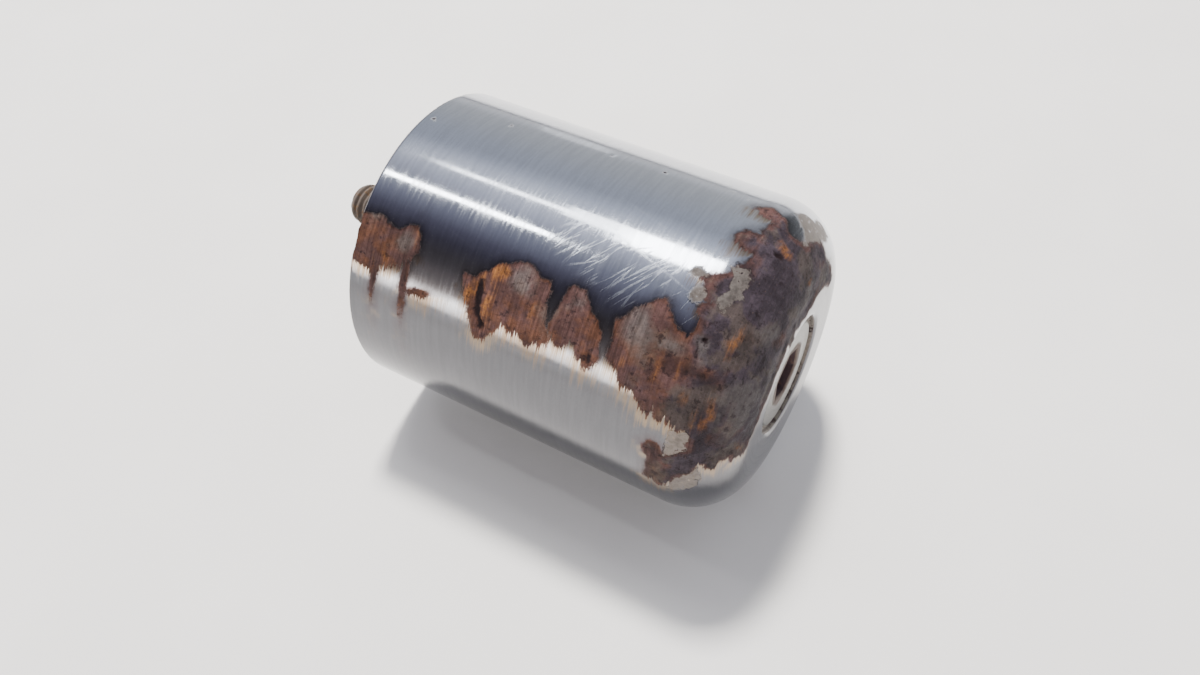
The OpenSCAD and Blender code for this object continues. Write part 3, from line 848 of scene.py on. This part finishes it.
@dataclass
class Barrel:
    """The chromed shell: a dense turned skin whose surface is eaten away where it has rusted."""

    rim_mm: float
    end_mm: float
    radius_mm: float
    wall_mm: float = 2.5
    shoulder_mm: float = 12.5
    recess_mm: float = 11.9
    lip_mm: float = 1.2
    recess_depth_mm: float = 8.5
    dirt_mm: float = 0.92
    dirt_slope_mm: float = 0.55
    bore_mm: float = 8.0
    edge_mm: float = 0.35
    skin_mm: float = 0.012
    rim_rows: int = 4
    side_rows: int = 152
    shoulder_rows: int = 44
    end_rows: int = 13
    lip_rows: int = 7
    dirty_rows: int = 11
    columns: int = 384

    def outline(self) -> Outline:
        """Return the shell's half profile, from the rim along the outside and back inside."""
        r, rim, end, t = self.radius_mm, self.rim_mm, self.end_mm, self.wall_mm
        inner = r - t
        turn_x, flat_r = end - self.shoulder_mm, r - self.shoulder_mm
        lip_r, lip_x = self.recess_mm + self.lip_mm, end - self.lip_mm
        floor = end - self.recess_depth_mm
        back = self.recess_mm + t
        e = self.edge_mm
        o = Outline()
        o.arc((r - e, rim + e), e, -90, 0, self.rim_rows)
        o.line((r, rim + e), (r, turn_x), self.side_rows)
        o.arc((flat_r, turn_x), self.shoulder_mm, 0, 90, self.shoulder_rows)
        o.line((flat_r, end), (lip_r, end), self.end_rows)
        o.arc((lip_r, lip_x), self.lip_mm, 90, 180, self.lip_rows)
        dirt_r, dirt_x = self.recess_mm - self.dirt_mm, lip_x - self.dirt_slope_mm
        o.line((self.recess_mm, lip_x), (dirt_r, dirt_x), 3)
        o.line((dirt_r, dirt_x), (dirt_r, floor), 3)
        o.line((dirt_r, floor), (self.bore_mm, floor), 2)
        o.line((self.bore_mm, floor), (self.bore_mm, floor - t), 1)
        o.line((self.bore_mm, floor - t), (back, floor - t), 1)
        o.line((back, floor - t), (back, end - t), 2)
        o.line((back, end - t), (flat_r, end - t), 1)
        o.arc((flat_r, turn_x), self.shoulder_mm - t, 90, 0, 8)
        o.line((inner, turn_x), (inner, rim), 4)
        o.line((inner, rim), (r - e, rim), 1)
        return o

    def build(self) -> bpy.types.Object:
        """Build the shell's mesh with its corrosion stored on it.

        Returns:
            The finished piece.
        """
        o = self.outline()
        radius, station = np.array(o.radius), np.array(o.station)
        walked = o.walked() - self.edge_mm * math.pi / 2 + self.edge_mm
        angle = (np.arange(self.columns) + 0.5) * 360.0 / self.columns - 180.0
        along, around = np.meshgrid(walked, angle, indexing="ij")
        lip_end = self._outside_rows() - 3
        outside = (np.arange(len(radius)) < lip_end)[:, None]
        chart = CorrosionMap(self.radius_mm)
        depths = {layer: np.where(outside, chart.depth(layer, along, around), CorrosionMap.OUTSIDE_MM)
                  for layer in Layer}
        around_mm = around * chart.mm_per_degree
        height = self._relief(depths, along, around_mm)
        rad = radius[:, None] + height * np.array(o.out_r)[:, None]
        sta = station[:, None] + height * np.array(o.out_x)[:, None]
        phi = np.radians(around)
        points = np.stack([sta + 0 * phi, rad * np.sin(phi), rad * np.cos(phi)], axis=-1) * MM
        piece = turn_mesh("chromed_shell", points, closed=True)
        recess = np.zeros(along.shape, dtype=bool)
        recess[lip_end:lip_end + self.dirty_rows] = True
        damp = Grain(seed=31).fractal(along * 0.5, around_mm, 5.0)
        rise = np.gradient(depths[Layer.RUST], around_mm[0], axis=1)
        depths[Layer.RUST] = np.where(recess, np.maximum(1.2 + 1.2 * damp, 0.5), depths[Layer.RUST])
        depths[Layer.FLAKE] = np.where(recess, 0.5 + 1.6 * damp, depths[Layer.FLAKE])
        for layer, values in depths.items():
            store(piece, layer.value, values)
        store(piece, "station", along)
        store(piece, "around", around_mm)
        store(piece, "drip", np.where(outside, smoothstep(0.1, 0.75, rise), 0.0))
        # Painted shade mask: the near lower side, about -54 to -150 degrees round, and the closed end past 80
        # mm along.
        shade_and_dulling = smoothstep(-54, -66, around) * smoothstep(-150, -125, around)
        store(piece, "shade_and_dulling", np.maximum(shade_and_dulling, smoothstep(80, 87, along)))
        return piece

    def _outside_rows(self) -> int:
        """Return how many rows lie on the outside, up to the recess's wall."""
        return self.rim_rows + self.side_rows + self.shoulder_rows + self.end_rows + self.lip_rows

    def _relief(self, depths: dict[Layer, np.ndarray], along: np.ndarray, around: np.ndarray) -> np.ndarray:
        """Work out how far each point stands off the sound surface.

        Args:
            depths: Distance inside each layer in mm.
            along: Distance from the rim in mm.
            around: Distance round the barrel in mm.

        Returns:
            Height in mm, negative where metal is lost.
        """
        fine, coarse = Grain(seed=5), Grain(seed=8)
        rust = smoothstep(0.6, 1.8, depths[Layer.RUST])
        flake = smoothstep(-0.1, 0.5, depths[Layer.FLAKE])
        scab = smoothstep(0.0, 1.4, depths[Layer.AMBER]) * rust
        slate = smoothstep(0.2, 1.8, depths[Layer.SLATE])
        crack = smoothstep(-0.1, 0.5, depths[Layer.CRACK])
        rough = 0.16 * fine.fractal(along, around, 1.6, 3)
        rough = rough + 0.2 * coarse.fractal(along * 1.6, around * 0.6, 5.0, 2)
        height = rust * (-0.16 + rough)
        height += rust * (0.2 * scab + 0.14 * slate)
        height -= 0.4 * crack * rust + 0.12 * crack
        return np.minimum(height * (1 - 0.5 * flake), 0.0) - self.skin_mm


# ---------------------------------------------------------------- the spindle


@dataclass
class Spindle:
    """The shoulder screw: a turned head with a hex socket, a plain shoulder and a rusted thread."""

    head_top_mm: float
    tip_mm: float
    head_r_mm: float
    head_h_mm: float = 5.0
    shoulder_r_mm: float = 6.35
    shoulder_end_mm: float = 4.0
    relief_r_mm: float = 3.9
    thread_r_mm: float = 4.7625
    pitch_mm: float = 1.5875
    socket_af_mm: float = 9.525
    socket_depth_mm: float = 4.6
    columns: int = 144

    def build(self) -> bpy.types.Object:
        """Build the screw's mesh with its three finishes.

        Returns:
            The finished piece.
        """
        theta = (np.arange(self.columns) + 0.5) * 2 * math.pi / self.columns
        rows, kinds = [], []
        for radius, station, kind in self._rows(theta):
            place = [station + 0 * theta, radius * np.sin(theta), radius * np.cos(theta)]
            rows.append(np.stack(place, axis=-1))
            kinds.append(kind)
        piece = turn_mesh("spindle_screw", np.array(rows) * MM, closed=False)
        self._cap(piece, len(rows))
        for metal in (HEAD_FINISH, THREAD_FINISH, SOCKET_FINISH):
            piece.data.materials.append(metal.make())
        reach = np.array([np.hypot(row[:, 1], row[:, 2]) for row in rows])
        around = np.hypot(0.55 * self.socket_af_mm, 0.6)
        grime = np.where(np.array(kinds)[:, None] == 0, 1.0 - np.abs(reach - around) / 2.0, 0.0)
        store(piece, "grime", np.append(np.clip(grime, 0.0, 1.0), [0.0, 0.0]))
        faces = piece.data.polygons
        for i in range(len(rows) - 1):
            for j in range(self.columns):
                faces[i * self.columns + j].material_index = kinds[i]
        for j in range((len(rows) - 1) * self.columns, len(faces)):
            faces[j].material_index = 2 if faces[j].center.x > 0 else 1
        return piece

    def _hex(self, theta: np.ndarray, flats_mm: float) -> np.ndarray:
        """Return a hexagon's radius in each direction, with its edge rusted out of true."""
        sector = math.pi / 3
        rusted = 0.22 * Grain(seed=3).fractal(4 * np.cos(theta), 4 * np.sin(theta), 2.2, 3)
        return flats_mm / 2 / np.cos((theta % sector) - sector / 2) + rusted

    def _rows(self, theta: np.ndarray) -> list:
        """Return each row's radius, station and finish number, from the socket's floor to the stud's tip."""
        top, head = self.head_top_mm, self.head_r_mm
        ones = np.ones_like(theta)
        hexagon = self._hex(theta, self.socket_af_mm)
        floor = top - self.socket_depth_mm
        rows = [(0.35 * hexagon, floor - 0.25, 2), (hexagon * 0.97, floor, 2), (hexagon, floor + 0.15, 2)]
        rows += [(hexagon, x, 2) for x in np.linspace(floor + 0.6, top - 0.4, 6)]
        rows += [(hexagon * 1.005, top - 0.3, 0), (hexagon + 0.3, top - 0.02, 0)]
        edge = 0.55
        for t in np.linspace(0.08, 1.0, 12):
            rows.append(((hexagon + 0.3) * (1 - t) + (head - edge) * t * ones, top, 0))
        for a in np.linspace(15, 90, 5):
            rows.append(((head - edge + edge * math.sin(math.radians(a))) * ones,
                         top - edge + edge * math.cos(math.radians(a)), 0))
        under = top - self.head_h_mm
        groove = 0.91 * head * ones
        rows += [(head * ones, top - 1.4, 0), (groove, top - 1.6, 0), (groove, top - 3.4, 0),
                 (head * ones, top - 3.6, 0), (head * ones, under + 0.2, 0), ((head - 0.2) * ones, under, 0),
                 (self.shoulder_r_mm * ones, under, 0)]
        rows += [(self.shoulder_r_mm * ones, x, 0) for x in np.linspace(under - 1, self.shoulder_end_mm, 6)]
        rows += [(self.relief_r_mm * ones, self.shoulder_end_mm, 1), (self.relief_r_mm * ones, 0.2, 1)]
        return rows + self._thread_rows(theta)

    def _thread_rows(self, theta: np.ndarray) -> list:
        """Return the rows of the helical thread, worn and pitted, with a rounded lead at the tip."""
        grain = Grain(seed=21)
        depth = 0.6134 * self.pitch_mm
        rows = []
        for x in np.arange(0.0, self.tip_mm, -self.pitch_mm / 11):
            turns = x / self.pitch_mm - theta / (2 * math.pi)
            wave = np.abs(2 * (turns - np.floor(turns)) - 1)
            crest = smoothstep(0.1, 0.86, wave)
            root = self.thread_r_mm - depth
            pit = 0.14 * grain.fractal(x + 0 * theta, theta * self.thread_r_mm, 1.3, 3)
            radius = root + depth * crest + pit - 0.1
            lead = max(0.0, 1.0 - (x - self.tip_mm) / 3.2)
            limit = self.thread_r_mm * math.sqrt(max(1.0 - 0.42 * lead ** 2.4, 0.0))
            rows.append((np.minimum(np.minimum(radius, limit), self.thread_r_mm), x, 1))
        tip = rows[-1][0]
        for t in (0.85, 0.6, 0.3):
            rows.append((tip * t, self.tip_mm + 0.04 + 0.25 * t * t, 1))
        return rows

    def _cap(self, piece: bpy.types.Object, rows: int) -> None:
        """Close the socket's floor and the stud's tip.

        Args:
            piece: The open mesh.
            rows: Number of rows it has.
        """
        mesh = piece.data
        cols = self.columns
        coords = np.empty(len(mesh.vertices) * 3)
        mesh.vertices.foreach_get("co", coords)
        coords = coords.reshape(-1, 3)
        quads = [list(face.vertices) for face in mesh.polygons]
        first, last = len(coords), len(coords) + 1
        floor = coords[:cols].mean(axis=0) - np.array([0.15 * MM, 0, 0])
        tip = coords[(rows - 1) * cols:rows * cols].mean(axis=0)
        tip[0] = self.tip_mm * MM
        for j in range(cols):
            k = (j + 1) % cols
            quads.append([first, k, j])
            quads.append([last, (rows - 1) * cols + j, (rows - 1) * cols + k])
        mesh.clear_geometry()
        mesh.from_pydata(np.vstack([coords, floor, tip]).tolist(), [], quads)
        face_outwards(mesh)


# ---------------------------------------------------------------- studio


@dataclass(frozen=True)
class Softbox:
    """A rectangular lamp above the object: where it hangs, its size and its strength, in metres and watts."""

    name: str
    place: tuple[float, float, float]
    size: tuple[float, float]
    power: float
    colour: str = "#ffffff"
    mirrored: bool = True
    aimed: bool = False


@dataclass
class Studio:
    """Pale floor, soft light and the camera."""

    floor_mm: float
    aim: Vector
    azimuth_deg: float = -56.83
    elevation_deg: float = 50.83
    roll_deg: float = -3.96
    distance_mm: float = 212.0
    lens_mm: float = 28.97
    floor_side_mm: float = 16000.0
    sky_strength: float = 1.8
    end_wall: str = "#bcbbbd"
    horizon_glow: float = 4.5
    window_glow: float = 1.3
    softboxes: tuple[Softbox, ...] = (
        Softbox("long_strip", (-0.60, -0.157, 1.0), (0.36, 0.055), 1.3),
        Softbox("short_strip", (-0.50, 0.217, 1.0), (0.24, 0.05), 0.26),
        Softbox("window", (-0.24, 0.19, 1.0), (0.18, 0.24), 2.4),
        Softbox("window_side", (-0.36, 0.23, 1.0), (0.12, 0.16), 0.35),
        Softbox("far_panel", (-0.49, 1.09, 0.13), (0.10, 0.16), 0.03, aimed=True),
        Softbox("key", (-0.20, 0.34, 1.1), (0.16, 0.16), 33.0, "#fffaf4", mirrored=False, aimed=True),
        Softbox("fill", (0.10, -0.30, 1.6), (1.5, 1.5), 5.0, "#fffcfa", mirrored=False),
    )

    def build(self) -> None:
        """Make the floor, the lamps, the surroundings and the camera."""
        self._floor()
        for box in self.softboxes:
            self._lamp(box)
        self._surroundings()
        self._camera()

    def _floor(self) -> None:
        """Lay a pale matt floor under the object."""
        half = self.floor_side_mm / 2 * MM
        z = self.floor_mm * MM
        mesh = bpy.data.meshes.new("floor")
        corners = [(-half, -half, z), (half, -half, z), (half, half, z), (-half, half, z)]
        mesh.from_pydata(corners, [], [(0, 1, 2, 3)])
        floor = bpy.data.objects.new("floor", mesh)
        bpy.context.collection.objects.link(floor)
        material, w = new_material("pale_matt_floor")
        cloud = w.add(Step.NOISE, w.mm, 1 / 60.0, 3.0, 0.55)
        tone = w.add(Step.BLEND, w.add(Step.EASE, cloud, 0.3, 0.7), "#e9e8e6", "#eeedeb")
        w.finish(Base_Color=tone, Roughness=0.6)
        mesh.materials.append(material)

    def _lamp(self, box: Softbox) -> None:
        """Hang one softbox, facing the object."""
        lamp = bpy.data.lights.new(box.name, "AREA")
        lamp.shape = "RECTANGLE"
        lamp.size, lamp.size_y = box.size
        lamp.energy = box.power
        lamp.color = hex_linear(box.colour)[:3]
        holder = bpy.data.objects.new(box.name, lamp)
        holder.location = box.place
        holder.visible_glossy = box.mirrored
        if box.aimed:
            holder.rotation_euler = (-Vector(box.place)).to_track_quat("-Z", "Y").to_euler()
        bpy.context.collection.objects.link(holder)

    def _surroundings(self) -> None:
        """Shade the surroundings round the barrel's axis, from pale walls to a dark side by the camera."""
        world = bpy.data.worlds.new("soft_room")
        bpy.context.scene.world = world
        world.use_nodes = True
        w = Weave(world.node_tree)
        outlook = w.add(Step.COORDINATES, out="Generated")
        parts = w.add(Step.SPLIT, outlook).node.outputs
        turn = w.add(Step.BEARING, w.add(Step.TIMES, parts["Y"], -1.0), parts["Z"])
        walls = w.add(Step.COLOURS, w.add(Step.RANGE, turn, -math.pi / 2, math.pi / 2))
        stops = ((-90, "#c6c5c6"), (-85, "#c2c2c5"), (-77, "#acadb0"), (-61, "#a3a5aa"), (-45, "#9a9ea8"),
                 (-29, "#9498a4"), (-21, "#a2a5b0"), (-12, "#a6a8b2"), (0, "#9799a6"), (9, "#8c8e9b"),
                 (18, "#747584"), (30, "#4c4a58"), (40, "#38353f"), (50, "#393538"), (57, "#433e40"),
                 (63, "#564f4f"), (70, "#69615f"), (76, "#968a84"), (82, "#faf2ea"), (90, "#d0c9c4"))
        elements = walls.node.color_ramp.elements
        while len(elements) < len(stops):
            elements.new(0.5)
        for element, (degrees, colour) in zip(elements, stops):
            element.position = (degrees + 90) / 180
            element.color = hex_linear(colour)
        horizon = w.add(Step.EASE, turn, math.radians(74), math.radians(82), 0.0, self.horizon_glow)
        glow = self._patch(w, outlook, (-0.31, 0.23, 0.92), 24.0, 3.0, 0.0, self.window_glow)
        dark = self._patch(w, outlook, (0.27, 0.95, 0.12), 18.0, 8.0, 1.0, 0.2)
        bright = w.add(Step.PLUS, w.add(Step.PLUS, horizon, glow), self.sky_strength)
        shaded = w.add(Step.TIMES, bright, dark)
        ends = w.add(Step.EASE, w.add(Step.UNSIGNED, parts["X"]), 0.72, 0.92)
        colour = w.add(Step.BLEND, ends, walls, self.end_wall)
        level = w.add(Step.LEVEL, ends, shaded, self.sky_strength)
        w.add(Step.SKY_OUT, w.add(Step.SKY, colour, level))

    def _patch(self, w: Weave, outlook: Socket, towards: tuple[float, float, float], outer_deg: float,
               inner_deg: float, outside: float, inside: float) -> Socket:
        """Return one value in a soft round patch of the surroundings and another outside it.

        Args:
            w: The surroundings' nodes.
            outlook: The direction looked in.
            towards: The middle of the patch.
            outer_deg: How far from its middle the patch ends.
            inner_deg: How far from its middle it is full.
            outside: The value outside it.
            inside: The value in its middle.

        Returns:
            The value.
        """
        near = w.add(Step.FACING, outlook, tuple(Vector(towards).normalized()))
        outer, inner = math.cos(math.radians(outer_deg)), math.cos(math.radians(inner_deg))
        return w.add(Step.EASE, near, outer, inner, outside, inside)

    def _camera(self) -> None:
        """Set the camera at its viewing angle."""
        az, el = math.radians(self.azimuth_deg), math.radians(self.elevation_deg)
        away = Vector((math.cos(el) * math.cos(az), math.cos(el) * math.sin(az), math.sin(el)))
        camera = bpy.data.cameras.new("camera")
        camera.sensor_width = 36.0
        camera.lens = self.lens_mm
        camera.clip_start = 0.01
        holder = bpy.data.objects.new("camera", camera)
        place = self.aim + away * self.distance_mm * MM
        roll = Matrix.Rotation(math.radians(self.roll_deg), 4, "Z")
        turn = away.to_track_quat("Z", "Y").to_matrix().to_4x4()
        holder.matrix_world = Matrix.Translation(place) @ turn @ roll
        bpy.context.collection.objects.link(holder)
        bpy.context.scene.camera = holder


# ---------------------------------------------------------------- assembly


def dress_cad_nodes(replaced: set[str]) -> None:
    """Give each CAD node that stays its finish.

    Args:
        replaced: Names of the nodes that a piece stands for.
    """
    slots = {entry["node"]: entry["material_slot"] for entry in frame["record"]["subparts"]}
    made: dict[str, bpy.types.Material] = {}
    for name, node in frame["nodes"].items():
        if name in replaced:
            continue
        slot_name = slots[name]
        if slot_name not in made:
            made[slot_name] = FINISHES[slot_name].make()
        node.data.materials.clear()
        node.data.materials.append(made[slot_name])
        LOG.info("dressed %s as %s", name, made[slot_name].name)


def main() -> None:
    """Build every piece in order and report it."""
    logging.basicConfig(level=logging.INFO, format="%(name)s: %(message)s")
    shell_low, shell_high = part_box("shell")
    bolt_low, bolt_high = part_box("spindle_bolt")
    radius = (shell_high[2] - shell_low[2]) / 2 / MM

    barrel = Barrel(rim_mm=shell_low[0] / MM, end_mm=shell_high[0] / MM, radius_mm=radius)
    shell = barrel.build()
    shell.data.materials.append(WornChrome().make())
    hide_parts("shell")
    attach(shell, "barrel")
    LOG.info("shell: %d faces", len(shell.data.polygons))

    spindle = Spindle(head_top_mm=bolt_high[0] / MM, tip_mm=bolt_low[0] / MM,
                      head_r_mm=(bolt_high[2] - bolt_low[2]) / 2 / MM)
    screw = spindle.build()
    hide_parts("spindle_bolt")
    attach(screw, "spindle")
    LOG.info("spindle: %d faces", len(screw.data.polygons))

    dress_cad_nodes({"shell", "spindle_bolt"})

    middle = (shell_low[0] + shell_high[0]) / 2
    aim = Vector((middle - 3.1 * MM, 1.3 * MM, -15.1 * MM))
    Studio(floor_mm=-radius, aim=aim).build()


if __name__ == "__main__":
    main()
